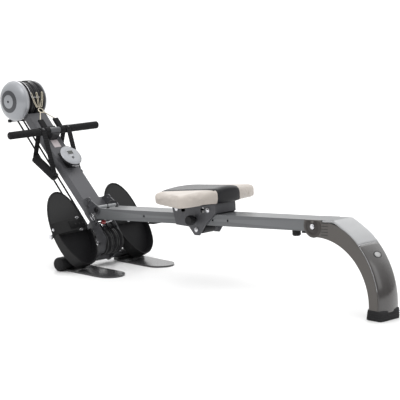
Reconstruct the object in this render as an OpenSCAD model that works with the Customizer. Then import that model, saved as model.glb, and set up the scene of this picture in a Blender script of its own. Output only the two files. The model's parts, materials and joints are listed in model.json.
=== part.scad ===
// Folding rowing machine with elastic cords.
// +X points to the rear leg, +Y to the rower's right, +Z up. Millimetres.
// The machine is symmetric about the plane Y = 0 except for its two lock knobs.

/* [Rail] */
// Width of the rail tube
rail_w = 95; // [85:1:100]
// Height of the rail tube
rail_h = 40; // [36:1:42]
// Rise of the rail towards the rear leg, in degrees
rail_rise = 4.7; // [4:0.1:5.4]
// Height of the rail's top face above the origin
rail_z = 254; // [250:1:258]

/* [Column] */
// Width of the front column
column_w = 81; // [76:1:84]
// Thickness of the front column
column_t = 32; // [28:1:36]
// Lean of the column from the vertical, in degrees
column_lean = 45.5; // [44:0.5:47]
// Distance in front of the origin where the column's front face would meet the floor
column_x = -245; // [-250:1:-240]

/* [Head] */
// Radius of the domed head cover on the left side
head_r = 76.5; // [74:0.5:80]
// How far the dome stands out from its rim
dome_h = 31; // [20:1:34]

/* [Cords] */
// Diameter of the elastic cords
cord_d = 7; // [5:0.5:8]
// Distance between neighbouring cords
cord_gap = 28; // [27:0.5:29]

/* [Handles] */
// Length of the handlebar
handlebar_w = 454; // [420:2:480]
// Diameter of the handlebar's foam grips
grip_d = 29; // [26:1:32]
// Diameter of the foam on the two stirrup handles
stirrup_d = 33; // [28:1:34]

/* [Pedals] */
// Length of each foot plate
pedal_len = 310; // [290:2:316]
// Width of each foot plate
pedal_w = 170; // [150:2:172]
// Height of the heel cup's wall at the heel
heel_h = 42; // [30:1:46]

/* [Seat] */
// Overall width of the cushion
seat_w = 400; // [360:2:420]
// Thickness of the cushion
seat_t = 48; // [40:1:52]

/* [Hidden] */
$fn = 64;

// Colours
dark_grey = "#4b4c50";
black = "#1b1b1d";
silver = "#c3c6c8";

// Clearances: a turning fit, a fixed fit, and the play beside a moving piece
run_fit = 0.05;
fix_fit = 0.05;
side_play = 1;
// A flat or straight piece that continues a round one is this much slimmer, so that no faces touch
edge_step = 0.03;

// A point [x, z] from the distance s up the column's front face and the distance n out of it
function on_column(s, n) = [
    column_x - s * sin(column_lean) + n * cos(column_lean),
    s * cos(column_lean) + n * sin(column_lean)
];
// A point [x, z] from the distance r along the rail's top face and the height h above it
function on_rail(r, h) = [
    r * cos(rail_rise) - h * sin(rail_rise),
    rail_z + r * sin(rail_rise) + h * cos(rail_rise)
];

// Column: it starts above the lower pulleys and ends below the head pulleys
wall = 2.5;
column_low = 262;
column_high = 775;
column_mid = -column_t / 2;
plate_t = 4;
frame_y = column_w / 2;

// Places [x, z] of the cross rods and of the turning pieces
head_at = on_column(853, -12);
lower_pulley_at = [-410, 91];
anchor_at = on_column(238, -9);
pedal_at = [-462, 131];
stabilizer_at = [-447, 26];
fold_at = [-410, 216];
handlebar_at = on_column(663, 29.4);
rod_r = 6;
anchor_r = 5;
stabilizer_r = 14;
stabilizer_cap_r = 26;
stabilizer_half = 150;
cap_out = 222;

// Cord paths: groove radii are to the cord's centre line
cord_r = cord_d / 2;
head_groove_r = 65;
lower_groove_r = 44.5;
flange_over = 2;

// Handlebar and stirrups
bar_r = 12;
grip_from = 77;
web_t = 3;
stirrup_y = 64;
stirrup_web_w = 22;
stirrup_front = [-736, 380];
stirrup_rear = [-623, 318];

// Pedals: local +x runs to the heel and local +z to the foot
pedal_y = 147;
pedal_pitch = 61.2;
sole_low = 6.8;
sole_top = 12;
sole_shift = -11;
cup_from = 3;
strap_w = 45;
strap_h = 36;

// Rail and rear leg, distances along the rail
rail_from = -420;
rail_to = 735;
knuckle_r = 14;
lock_hole_r = 4.5;
lock_holes = [-166, 98, 179, 251];
leg_outer_at = [648, 40];
leg_outer_r = 286;
leg_crown_at = [696.4, 110.5];
leg_crown_r = 200;
leg_inner_at = [675, 35];
leg_inner_r = 215;
leg_y = 52;
leg_boss_at = [645, 286];
leg_boss_r = 40;
cover_t = 5;
foot_x = [879, 938];
foot_h = 36;

// Carriage and seat, distances along the rail and heights above its top face
carriage_y = rail_w / 2 + 2;
upper_axle_h = 16;
upper_axles = [11, 166];
lower_axle = [104, -57];
roller_r = 15.6;
lower_roller_r = 16.4;
axle_r = 5;
lock_at = [98, -20];
carriage_top = 37;
board_t = 4;
pad_low = carriage_top + board_t + 0.3;

// Extrudes an [x, z] outline between two Y values
module across(y0, y1) {
    translate([0, y1, 0])
        rotate([90, 0, 0])
            linear_extrude(y1 - y0)
                children();
}

// The same piece on both sides of the machine
module both_sides() {
    children();
    mirror([0, 1, 0])
        children();
}

// A rod along Y through the point [x, z]
module rod(at, r, y0, y1) {
    translate([at[0], y0, at[1]])
        rotate([-90, 0, 0])
            cylinder(r = r, h = y1 - y0);
}

// A flat bar with round ends between two points of an outline
module link(a, b, r) {
    translate(a)
        circle(r = r);
    translate(b)
        circle(r = r);
    translate(a)
        rotate(atan2(b[1] - a[1], b[0] - a[0]))
            translate([0, edge_step - r])
                square([norm(b - a), 2 * (r - edge_step)]);
}

// A disc in an outline
module disc(at, r) {
    translate(at)
        circle(r = r);
}

// Local frames of the rail and of a pedal
module in_rail() {
    translate([0, 0, rail_z])
        rotate([0, -rail_rise, 0])
            children();
}
module in_pedal(side) {
    translate([pedal_at[0], side * pedal_y, pedal_at[1]])
        rotate([0, pedal_pitch, 0])
            children();
}

// A frame lying on the column's front face: local x runs down the column, local z out of it
module in_column(s, n, y = 0) {
    at = on_column(s, n);
    translate([at[0], y, at[1]])
        rotate([0, 90 - column_lean, 0])
            children();
}

// Points of an oval, from angle a0 to angle a1
function oval(rx, ry, a0 = 0, a1 = 352.5, step = 7.5) =
    [for (a = [a0 : step : a1]) [rx * cos(a), ry * sin(a)]];

/* Frame */

module column_box(s0, s1, n0, n1, half) {
    across(-half, half)
        polygon([on_column(s0, n0), on_column(s1, n0), on_column(s1, n1), on_column(s0, n1)]);
}

module column_tube() {
    color(dark_grey)
        difference() {
            column_box(column_low, column_high, -column_t, 0, frame_y);
            column_box(column_low - 1, column_high + 1, wall - column_t, -wall, frame_y - wall);
        }
}

// Curved plate that carries the pedal axle and the lower pulleys below the column
module side_plate() {
    column_end = on_column(300, column_mid);
    bend = on_column(250, column_mid);
    nose = [-391, 104];
    shin = [-396, 74];
    across(frame_y, frame_y + plate_t)
        difference() {
            union() {
                link(column_end, bend, 15);
                link(bend, pedal_at, 16);
                link(bend, nose, 20);
                link(nose, shin, 23);
                link(shin, stabilizer_at, 18);
                disc(lower_pulley_at, 18);
                disc(stabilizer_at, 19);
            }
            disc(pedal_at, rod_r + fix_fit);
            disc(lower_pulley_at, rod_r + fix_fit);
            disc(anchor_at, anchor_r + fix_fit);
            disc(stabilizer_at, stabilizer_r + fix_fit);
        }
}

module side_plate_near() {
    color(dark_grey)
        mirror([0, 1, 0])
            side_plate();
}

module side_plate_far() {
    color(dark_grey)
        side_plate();
}

module front_stabilizer() {
    color(dark_grey)
        difference() {
            rod(stabilizer_at, stabilizer_r, -stabilizer_half, stabilizer_half);
            rod(stabilizer_at, stabilizer_r - wall, -stabilizer_half - 1, stabilizer_half + 1);
        }
}

module stabilizer_caps() {
    corner = 14;
    color(black)
        both_sides()
            translate([stabilizer_at[0], stabilizer_half, stabilizer_at[1]])
                rotate([-90, 0, 0])
                    rotate_extrude()
                        intersection() {
                            union() {
                                square([stabilizer_cap_r - corner, cap_out - stabilizer_half]);
                                square([stabilizer_cap_r, cap_out - stabilizer_half - corner]);
                                translate([stabilizer_cap_r - corner, cap_out - stabilizer_half - corner])
                                    circle(r = corner);
                            }
                            square([stabilizer_cap_r, cap_out - stabilizer_half]);
                        }
}

// Standing plate on the floor with a tab that is welded under the stabilizer
module floor_plate() {
    plate_y = 131;
    plate_r = 60;
    plate_h = 6;
    front = -428;
    rear = -265;
    tab_x = -457;
    tab_y = 82;
    tab_w = 64;
    rest_w = 18;
    union() {
        linear_extrude(plate_h)
            union() {
                translate([front, plate_y - plate_r])
                    square([rear - front, 2 * plate_r]);
                translate([rear, plate_y])
                    circle(r = plate_r);
                translate([tab_x, tab_y])
                    square([front - tab_x + 1, tab_w]);
            }
        translate([stabilizer_at[0] - rest_w / 2, tab_y, plate_h])
            cube([rest_w, tab_w, stabilizer_at[1] - stabilizer_r - plate_h]);
    }
}

module floor_plate_near() {
    color("#303135")
        mirror([0, 1, 0])
            floor_plate();
}

module floor_plate_far() {
    color("#303135")
        floor_plate();
}

module pedal_axle() {
    color(silver)
        rod(pedal_at, rod_r, -242, 242);
}

module cross_rods() {
    color(silver) {
        rod(lower_pulley_at, rod_r, -frame_y - 13, frame_y + 13);
        rod(head_at, rod_r, -frame_y - 10, frame_y + plate_t);
        rod(anchor_at, anchor_r, -frame_y - 5, frame_y + 5);
    }
}

/* Head */

module head_side_plates() {
    color(dark_grey)
        both_sides()
            across(frame_y, frame_y + plate_t)
                difference() {
                    union() {
                        disc(head_at, lid_r - 1);
                        link(on_column(700, column_mid), head_at, 15);
                    }
                    disc(head_at, rod_r + fix_fit);
                }
}

// The far side of the head is closed by a flat lid
lid_r = 71;

// Height of the dome at a distance from its centre, as a share of the radius
function dome(share) = dome_h * pow(1 - pow(share, 2.4), 0.62);

module head_cover_near() {
    rim_from = frame_y + plate_t + 0.3;
    rim_to = frame_y + 16;
    skin = 2.5;
    color(silver)
        mirror([0, 1, 0])
            translate([head_at[0], 0, head_at[1]])
                rotate([-90, 0, 0])
                    rotate_extrude()
                        polygon(concat(
                            [[head_r - skin, rim_from], [head_r, rim_from]],
                            [for (i = [20 : -1 : 0])
                                [head_r * sin(i * 4.5), rim_to + dome(sin(i * 4.5))]],
                            [for (i = [0 : 20])
                                [(head_r - skin) * sin(i * 4.5), rim_to - skin + dome(sin(i * 4.5))]]
                        ));
}

module head_cover_far() {
    lid_from = frame_y + plate_t + 0.3;
    lid_t = 5.2;
    bevel = 2;
    color(silver)
        translate([head_at[0], lid_from, head_at[1]])
            rotate([-90, 0, 0])
                rotate_extrude()
                    polygon([
                        [0, 0], [lid_r, 0], [lid_r, lid_t - bevel], [lid_r - bevel, lid_t], [0, lid_t]
                    ]);
}

// Curved guard over the top of the head pulleys
module head_guard() {
    from = 50;
    to = 150;
    inner = head_groove_r + cord_r + flange_over + 2;
    // the angle 0 points out of the column's front face
    face = 90 - column_lean;
    color(black)
        translate([head_at[0], frame_y - 0.1, head_at[1]])
            rotate([90, 0, 0])
                rotate([0, 0, face + from])
                    rotate_extrude(angle = to - from)
                        translate([inner, 0])
                            square([2, 2 * frame_y - 0.2]);
}

// One grooved pulley of the given groove radius on its rod
module pulley(at, y, groove_r) {
    width = cord_gap - 4;
    rim = groove_r + cord_r + flange_over;
    play = 0.4;
    translate([at[0], y, at[1]])
        rotate([-90, 0, 0])
            rotate_extrude()
                difference() {
                    translate([rod_r + run_fit, -width / 2])
                        square([rim - rod_r - run_fit, width]);
                    translate([groove_r, 0])
                        circle(r = cord_r + play);
                    polygon([
                        [groove_r, -cord_r - play],
                        [rim + 1, -cord_r - 5],
                        [rim + 1, cord_r + 5],
                        [groove_r, cord_r + play]
                    ]);
                    for (side = [-1, 1])
                        translate([rod_r + 12, side * width / 2 - 4])
                            square([groove_r - rod_r - 26, 8]);
                }
}

module head_pulley_near() {
    color(black)
        pulley(head_at, -cord_gap, head_groove_r);
}
module head_pulley_mid() {
    color(black)
        pulley(head_at, 0, head_groove_r);
}
module head_pulley_far() {
    color(black)
        pulley(head_at, cord_gap, head_groove_r);
}
module lower_pulley_near() {
    color(black)
        pulley(lower_pulley_at, -cord_gap, lower_groove_r);
}
module lower_pulley_mid() {
    color(black)
        pulley(lower_pulley_at, 0, lower_groove_r);
}
module lower_pulley_far() {
    color(black)
        pulley(lower_pulley_at, cord_gap, lower_groove_r);
}

// Points of a cord's turn about a pulley, from angle a0 to angle a1 in the x-z plane
function turn(at, radius, a0, a1, count) =
    [for (i = [0 : count]) at + radius * [cos(a0 + (a1 - a0) * i / count), sin(a0 + (a1 - a0) * i / count)]];

// Where the cord touches its pulleys: the front and the back of the head pulley share the back run's
// angle with the lower pulley, and the last touch is where the cord turns up to the anchor rod
head_to_low = head_at - lower_pulley_at;
low_to_anchor = anchor_at - lower_pulley_at;
touch_front = 90 - column_lean;
touch_back = atan2(head_to_low[1], head_to_low[0]) + 90
    - asin((head_groove_r - lower_groove_r) / norm(head_to_low));
touch_up = atan2(low_to_anchor[1], low_to_anchor[0]) - acos(lower_groove_r / norm(low_to_anchor)) + 360;
hook_end = head_at + head_groove_r * [cos(touch_front), sin(touch_front)];
hook_dir = [sin(column_lean), -cos(column_lean)];
cord_lead = 28;
low_on = lower_pulley_at + lower_groove_r * [cos(touch_up), sin(touch_up)];
anchor_dir = (anchor_at - low_on) / norm(anchor_at - low_on);

// Elastic cord's centre line: snap hook, over the head pulley, down behind the column, round the
// lower pulley, up to the anchor rod
cord_path = concat(
    [hook_end + cord_lead * hook_dir],
    turn(head_at, head_groove_r, touch_front, touch_back, 24),
    turn(lower_pulley_at, lower_groove_r, touch_back, touch_up, 18),
    [anchor_at - (anchor_r + 0.5) * anchor_dir]
);
cord_last = len(cord_path) - 1;
cord_sides = 12;

// Direction of the cord at a point of its path
function cord_dir(i) =
    let (d = cord_path[min(i + 1, cord_last)] - cord_path[max(i - 1, 0)]) d / norm(d);

module elastic_cord() {
    rings = [for (i = [0 : cord_last]) for (k = [0 : cord_sides - 1])
        let (a = k * 360 / cord_sides, d = cord_dir(i), c = cord_path[i])
        [c[0] - cord_r * cos(a) * d[1], cord_r * sin(a), c[1] + cord_r * cos(a) * d[0]]];
    walls = [for (i = [0 : cord_last - 1]) for (k = [0 : cord_sides - 1])
        let (j = (k + 1) % cord_sides, low = i * cord_sides, high = low + cord_sides)
        [low + k, high + k, high + j, low + j]];
    ends = [
        [for (k = [0 : cord_sides - 1]) k],
        [for (k = [cord_sides - 1 : -1 : 0]) cord_last * cord_sides + k]
    ];
    polyhedron(points = rings, faces = concat(walls, ends));
}

module cord_near() {
    color("#151515")
        translate([0, -cord_gap, 0])
            elastic_cord();
}
module cord_mid() {
    color("#151515")
        elastic_cord();
}
module cord_far() {
    color("#151515")
        translate([0, cord_gap, 0])
            elastic_cord();
}

// An oval wire loop lying in the local x-y plane, with its long way along x
module wire_loop(length, half_w, wire) {
    for (end = [0, 1])
        translate([end * length, 0, 0])
            rotate([0, 0, 90 + 180 * end])
                rotate_extrude(angle = 180)
                    translate([half_w, 0])
                        circle(r = wire, $fn = 24);
    for (side = [-1, 1])
        translate([0, side * half_w, 0])
            rotate([0, 90, 0])
                cylinder(r = wire, h = length, $fn = 24);
}

// A wire loop between two points [s, n, y] given in the column's frame
module hook_link(a, b, half_w, wire) {
    across_by = b[2] - a[2];
    out_by = b[1] - a[1];
    down_by = a[0] - b[0];
    in_column(a[0], a[1], a[2])
        rotate([0, -atan2(out_by, norm([down_by, across_by])), atan2(across_by, down_by)])
            wire_loop(norm(b - a), half_w, wire);
}

// Three snap hooks, each of two links, that lead from the cords' ends towards the yoke
module snap_hooks() {
    wire = 1.4;
    hook_half = 3.2;
    color("#c9bfa8")
        for (i = [-1, 0, 1])
            union() {
                hook_link([827, 57.5, cord_gap * i], [806, 46, 22 * i], hook_half, wire);
                hook_link([801, 42, 20.5 * i], [783, 31.5, 11.5 * i], hook_half, wire);
            }
}

/* Fold hinge */

ear_bolts = [[-452, 246], [-452, 224]];
ear_bolt_r = 3;

module hinge_bracket() {
    ear_y = rail_w / 2 + side_play;
    color(dark_grey)
        difference() {
            union() {
                across(-ear_y - plate_t, ear_y + plate_t)
                    polygon([on_column(285, 0), on_column(345, 0), on_column(345, 5), on_column(285, 5)]);
                both_sides()
                    across(ear_y, ear_y + plate_t)
                        union() {
                            polygon([
                                on_column(285, 0), on_column(345, 0), on_column(333, 34),
                                fold_at + [4, 15.5], fold_at + [-10, -12]
                            ]);
                            disc(fold_at, 16);
                            disc(ear_bolts[0], 12);
                        }
            }
            rod(fold_at, rod_r + fix_fit, -ear_y - 10, ear_y + 10);
            for (b = ear_bolts)
                rod(b, ear_bolt_r + fix_fit, -ear_y - 10, ear_y + 10);
        }
}

module hinge_pin() {
    color(silver)
        union() {
            rod(fold_at, rod_r, -59, 59);
            both_sides()
                rod(fold_at, 10, 52.7, 56.5);
        }
}

// Cross plate under the rail's front end that holds the fold lock
module fold_lock_plate() {
    color(dark_grey)
        in_rail()
            difference() {
                translate([-436, -frame_y, -44])
                    cube([46, 2 * frame_y, 2]);
                translate([-406, -26, -60])
                    cylinder(r = 4 + run_fit, h = 40);
            }
}

module fold_lock_pin() {
    color("#8c1c22")
        in_rail()
            translate([-406, -26, -61])
                rotate_extrude()
                    polygon([
                        [0, 0], [7, 0], [9, 1.5], [10, 4], [10, 8.5], [8, 12.5], [5, 16],
                        [4, 16], [4, 19.6], [0, 19.6]
                    ]);
}

// A hexagonal bolt head or nut with its face against the plane Y = y
module hex_head(at, y, across_flats, height) {
    translate([at[0], y, at[1]])
        rotate([-90, 0, 0])
            cylinder(d = across_flats / cos(30), h = height, $fn = 6);
}

// Nuts and bolts of the frame
module frame_fasteners() {
    ear_face = rail_w / 2 + side_play + plate_t;
    plate_face = frame_y + plate_t;
    color(silver) {
        both_sides() {
            for (b = ear_bolts)
                union() {
                    rod(b, ear_bolt_r, ear_face - plate_t, ear_face + 2);
                    hex_head(b, ear_face, 10, 4.5);
                }
            difference() {
                hex_head(lower_pulley_at, plate_face, 19, 7);
                rod(lower_pulley_at, rod_r + fix_fit, 0, 80);
            }
            difference() {
                hex_head(pedal_at, 233, 18, 7);
                rod(pedal_at, rod_r + fix_fit, 0, 280);
            }
        }
    }
}

/* Handlebar, yoke and stirrups */

// Open-topped cradle that holds the handlebar on the column
module handlebar_cradle() {
    seat_r = bar_r + 0.4;
    color(black)
        across(-18, 18)
            difference() {
                polygon([
                    on_column(640, 0), on_column(688, 0), on_column(684, 30),
                    on_column(642, 30)
                ]);
                disc(handlebar_at, seat_r);
                link(handlebar_at, handlebar_at + 40 * [cos(column_lean), sin(column_lean)], seat_r);
            }
}

module handlebar_tube() {
    color("#77797c")
        rod(handlebar_at, bar_r, -handlebar_w / 2 + 6, handlebar_w / 2 - 6);
}

// A foam sleeve along local +z with rounded ends, bored for its tube
module foam_sleeve(length, outer_r, bore_r) {
    corner = 5;
    rotate_extrude()
        difference() {
            intersection() {
                union() {
                    square([outer_r - corner, length]);
                    translate([0, corner])
                        square([outer_r, length - 2 * corner]);
                    for (z = [corner, length - corner])
                        translate([outer_r - corner, z])
                            circle(r = corner);
                }
                square([outer_r, length]);
            }
            translate([0, -1])
                square([bore_r, length - 4]);
        }
}

module handlebar_grips() {
    color(black)
        both_sides()
            translate([handlebar_at[0], grip_from, handlebar_at[1]])
                rotate([-90, 0, 0])
                    foam_sleeve(handlebar_w / 2 - grip_from, grip_d / 2, bar_r + fix_fit);
}

// Two webbing tabs that tie the handlebar to the yoke
module handlebar_webbing() {
    tab_in = 27;
    tab_out = 49;
    tie = on_column(712, 33);
    color(black)
        both_sides()
            across(tab_in, tab_out)
                difference() {
                    union() {
                        disc(handlebar_at, bar_r + web_t);
                        link(handlebar_at + [-3, 5], tie, 5);
                    }
                    disc(handlebar_at, bar_r + fix_fit);
                }
}

// Ring that the snap hooks clip to, with a wire leg to each webbing tab
module yoke_wire() {
    wire = 2;
    ring_r = 11;
    ring_s = 765;
    ring_n = 28;
    eye = on_column(716, 33);
    along = on_column(ring_s - 8, ring_n) - eye;
    inward = -30;
    rise = norm(along);
    color("#b9b4a6")
        union() {
            in_column(ring_s, ring_n)
                rotate_extrude()
                    translate([ring_r, 0])
                        circle(r = wire, $fn = 24);
            both_sides()
                translate([eye[0], 38, eye[1]])
                    rotate([0, atan2(along[0], along[1]), 0])
                        rotate([atan2(-inward, rise), 0, 0])
                            cylinder(r = wire, h = norm([rise, inward]), $fn = 24);
        }
}

// Webbing triangle of a stirrup handle: over the bar and through the grip
module stirrup_strap() {
    over_in = bar_r + 0.3;
    over_out = over_in + web_t;
    half = web_t / 2;
    left_top = handlebar_at + (over_in + half) * [cos(160), sin(160)];
    right_top = handlebar_at + (over_in + half) * [cos(15), sin(15)];
    color(black)
        across(stirrup_y - stirrup_web_w / 2, stirrup_y + stirrup_web_w / 2)
            union() {
                difference() {
                    disc(handlebar_at, over_out);
                    disc(handlebar_at, over_in);
                }
                link(left_top, stirrup_front, half);
                link(right_top, stirrup_rear, half);
                link(stirrup_front, stirrup_rear, half);
            }
}

module stirrup_grip() {
    along = stirrup_rear - stirrup_front;
    length = norm(along) - 4;
    start = stirrup_front + 2 * along / norm(along);
    color("#1f1f21")
        difference() {
            translate([start[0], stirrup_y, start[1]])
                rotate([0, atan2(along[0], along[1]), 0])
                    intersection() {
                        cylinder(r = stirrup_d / 2, h = length);
                        translate([0, 0, length / 2])
                            sphere(r = length / 2 + 4);
                    }
            across(stirrup_y - stirrup_web_w / 2 - 0.05, stirrup_y + stirrup_web_w / 2 + 0.05)
                link(stirrup_front, stirrup_rear, web_t / 2 + 0.05);
        }
}

module stirrup_strap_right() {
    stirrup_strap();
}
module stirrup_grip_right() {
    stirrup_grip();
}
module stirrup_strap_left() {
    mirror([0, 1, 0])
        stirrup_strap();
}
module stirrup_grip_left() {
    mirror([0, 1, 0])
        stirrup_grip();
}

/* Monitor */

monitor_s = 535;
monitor_r = 45;

module monitor_bracket() {
    color("#2a2b2e")
        union() {
            column_box(498, 572, 0, 3, 22);
            column_box(505, 565, 3, 12, 14);
        }
}

module monitor_case() {
    color(black)
        in_column(monitor_s, 12.4)
            rotate_extrude()
                polygon([
                    [0, 0], [30, 0], [38, 4], [monitor_r - 2, 11], [monitor_r, 15],
                    [monitor_r, 17.6], [0, 17.6]
                ]);
}

// Place of the button on the monitor's face, and the play round it
button_x = 14;
button_r = 5;

module monitor_face() {
    color(silver)
        in_column(monitor_s, 30)
            difference() {
                rotate_extrude()
                    polygon([
                        [0, 0], [monitor_r, 0], [monitor_r, 1.5], [monitor_r - 3, 4],
                        [monitor_r - 12, 6], [0, 7]
                    ]);
                translate([button_x, 0, 2])
                    cylinder(r = button_r + 0.35, h = 10);
            }
}

module monitor_button() {
    color("#6d7072")
        in_column(monitor_s, 30)
            translate([button_x, 0, 4.2])
                cylinder(r = button_r, h = 4);
}

/* Pedals */

module sole(rx, ry) {
    translate([sole_shift, 0])
        polygon(oval(rx, ry));
}

module pedal(side) {
    lug_y = 35;
    lug_t = 8;
    lug_r = 13;
    in_pedal(side)
        difference() {
            union() {
                translate([0, 0, sole_low])
                    linear_extrude(sole_top - sole_low)
                        sole(pedal_len / 2, pedal_w / 2);
                for (y = [-lug_y, lug_y])
                    translate([0, y + lug_t / 2, 0])
                        rotate([90, 0, 0])
                            linear_extrude(lug_t)
                                union() {
                                    circle(r = lug_r);
                                    translate([-lug_r, 0])
                                        square([2 * lug_r, sole_low]);
                                }
            }
            translate([0, pedal_w, 0])
                rotate([90, 0, 0])
                    cylinder(r = rod_r + run_fit, h = 2 * pedal_w);
            translate([-2 * lug_r, -pedal_w, sole_top])
                cube([4 * lug_r, 2 * pedal_w, 2 * lug_r]);
        }
}

module pedal_left() {
    color("#39393c")
        pedal(-1);
}
module pedal_right() {
    color("#39393c")
        pedal(1);
}

// Raised heel cup: a thin floor with a wall that rises towards the heel
module heel_cup(side) {
    cup_wall = 4;
    floor_t = 2;
    heel_x = pedal_len / 2 + sole_shift;
    in_pedal(side)
        intersection() {
            difference() {
                translate([0, 0, sole_top])
                    linear_extrude(heel_h + 5)
                        sole(pedal_len / 2, pedal_w / 2);
                translate([0, 0, sole_top + floor_t])
                    linear_extrude(heel_h + 5)
                        sole(pedal_len / 2 - cup_wall, pedal_w / 2 - cup_wall);
            }
            translate([0, pedal_w, 0])
                rotate([90, 0, 0])
                    linear_extrude(2 * pedal_w)
                        polygon([
                            [cup_from, sole_top], [heel_x + 1, sole_top],
                            [heel_x + 1, sole_top + heel_h], [heel_x - 40, sole_top + heel_h],
                            [cup_from, sole_top + 22]
                        ]);
        }
}

module heel_cup_left() {
    color(black)
        heel_cup(-1);
}
module heel_cup_right() {
    color(black)
        heel_cup(1);
}

// Strap over the foot
module foot_strap(side) {
    thick = 2.5;
    half = pedal_w / 2 - 1;
    in_pedal(side)
        translate([cup_from - 0.5, 0, sole_top])
            rotate([0, -90, 0])
                linear_extrude(strap_w)
                    difference() {
                        polygon(oval(strap_h, half, -90, 90));
                        polygon(concat(
                            [[-1, -half + thick], [-1, half - thick]],
                            [for (p = oval(strap_h - thick, half - thick, -90, 90))
                                [p[0], -p[1]]]
                        ));
                    }
}

module foot_strap_left() {
    color(black)
        foot_strap(-1);
}
module foot_strap_right() {
    color(black)
        foot_strap(1);
}

/* Rail and rear leg */

module rail_tube() {
    half = rail_w / 2;
    color("#8d9093")
        difference() {
            union() {
                in_rail()
                    difference() {
                        translate([rail_from, -half, -rail_h])
                            cube([rail_to - rail_from, rail_w, rail_h]);
                        translate([rail_from - 1, wall - half, wall - rail_h])
                            cube([rail_to - rail_from + 2, rail_w - 2 * wall, rail_h - 2 * wall]);
                    }
                rod(fold_at, knuckle_r, 0.5 - half, half - 0.5);
            }
            rod(fold_at, rod_r + run_fit, -half - 1, half + 1);
            for (r = lock_holes)
                rod(on_rail(r, -rail_h / 2), lock_hole_r, -half - 1, half + 1);
        }
}

// Stops under the rail for the carriage
module rail_bumpers() {
    color(black)
        in_rail() {
            translate([-172, -20, -rail_h - 12])
                cube([26, 40, 12]);
            translate([527, 0, -rail_h - 26])
                rotate_extrude()
                    polygon([[0, 0], [11, 0], [15, 4], [15, 18], [9, 26], [0, 26]]);
            translate([568, -20, -rail_h - 12])
                cube([24, 40, 12]);
        }
}

// Outline of the arch's outer curve, drawn in by a distance
module leg_outline(inset) {
    intersection() {
        disc(leg_outer_at, leg_outer_r - inset);
        union() {
            disc(leg_crown_at, leg_crown_r - inset);
            translate([leg_crown_at[0] + 113.5 - 300, 0])
                square([600, leg_crown_at[1] + 165.3]);
        }
    }
}

// The part of the leg beyond the line where it meets the rail
module leg_zone(x0, z0) {
    translate([x0, z0])
        square([400, 400]);
}

module rail_space(play) {
    in_rail()
        translate([500, -rail_w / 2 - play, -rail_h - play])
            cube([rail_to - 500 + play, rail_w + 2 * play, rail_h + 60]);
}

// Hollow curved leg whose cheeks hold the end of the rail
module leg_shell() {
    skin = 3;
    color("#5c5b59")
        difference() {
            across(-leg_y, leg_y)
                union() {
                    difference() {
                        intersection() {
                            leg_outline(cover_t);
                            leg_zone(leg_boss_at[0], foot_h - 12);
                        }
                        disc(leg_inner_at, leg_inner_r);
                    }
                    disc(leg_boss_at, leg_boss_r - 20);
                    intersection() {
                        disc(leg_boss_at, leg_boss_r);
                        polygon([
                            on_rail(560, 0), on_rail(720, 0), on_rail(720, -90), on_rail(560, -90)
                        ]);
                    }
                }
            rail_space(0);
            across(-leg_y + skin, leg_y - skin)
                intersection() {
                    difference() {
                        leg_outline(cover_t + skin);
                        disc(leg_inner_at, leg_inner_r + skin);
                    }
                    leg_zone(750, -10);
                }
        }
}

// Outer skin of the leg, from the rail's top face down to the foot
module leg_cover() {
    color("#a9abad")
        difference() {
            across(-leg_y, leg_y)
                intersection() {
                    difference() {
                        leg_outline(0);
                        leg_outline(cover_t);
                    }
                    leg_zone(700, foot_h - 12);
                    polygon([
                        on_rail(690, 0), on_rail(740, 8), [1000, 330], [1000, 0], [850, 0],
                        on_rail(690, -20)
                    ]);
                }
            rail_space(0.3);
        }
}

module rear_foot() {
    half = 51;
    socket = foot_h - 12;
    color("#161616")
        difference() {
            across(-half, half)
                polygon([
                    [foot_x[0], 0], [foot_x[1] - 2, 0], [foot_x[1], 3], [foot_x[1] - 3, foot_h],
                    [foot_x[0] + 5, foot_h]
                ]);
            translate([885, -leg_y - 1, socket - 0.1])
                cube([100, 2 * leg_y + 2, 40]);
        }
}

/* Seat and carriage */

// Side outline of the carriage, in rail coordinates
module carriage_outline() {
    polygon([
        [-14, carriage_top], [-12, 20], [3, -42], [66, -47], [92, -77], [116, -77], [146, -40],
        [198, 4], [200, carriage_top]
    ]);
}

module carriage_frame() {
    sheet = 4;
    notch_r = 10;
    color(dark_grey)
        in_rail()
            difference() {
                union() {
                    for (y = [-carriage_y - sheet, carriage_y])
                        translate([0, y + sheet, 0])
                            rotate([90, 0, 0])
                                linear_extrude(sheet)
                                    difference() {
                                        carriage_outline();
                                        translate([42, 14])
                                            circle(r = notch_r);
                                        translate([138, 14])
                                            circle(r = notch_r);
                                    }
                    translate([-14, -carriage_y - sheet, carriage_top - sheet])
                        cube([214, 2 * (carriage_y + sheet), sheet]);
                    translate([196, -carriage_y - sheet, 4])
                        cube([sheet, 2 * (carriage_y + sheet), carriage_top - 4]);
                }
                for (r = upper_axles)
                    translate([r, 100, upper_axle_h])
                        rotate([90, 0, 0])
                            cylinder(r = axle_r + fix_fit, h = 200);
                translate([lower_axle[0], 100, lower_axle[1]])
                    rotate([90, 0, 0])
                        cylinder(r = axle_r + fix_fit, h = 200);
                translate([lock_at[0], 0, lock_at[1]])
                    rotate([90, 0, 0])
                        cylinder(r = 4 + run_fit, h = 100);
            }
}

// Axle with a round head at each end, in rail coordinates
module carriage_axle(r, h) {
    reach = carriage_y + 4;
    translate([r, 0, h])
        rotate([90, 0, 0])
            union() {
                cylinder(r = axle_r, h = 2 * reach, center = true);
                for (side = [-1, 1])
                    translate([0, 0, side * (reach + 2)])
                        cylinder(r = 8, h = 4, center = true);
            }
}

module roller_axles() {
    color(silver)
        in_rail() {
            for (r = upper_axles)
                carriage_axle(r, upper_axle_h);
            carriage_axle(lower_axle[0], lower_axle[1]);
        }
}

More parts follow.
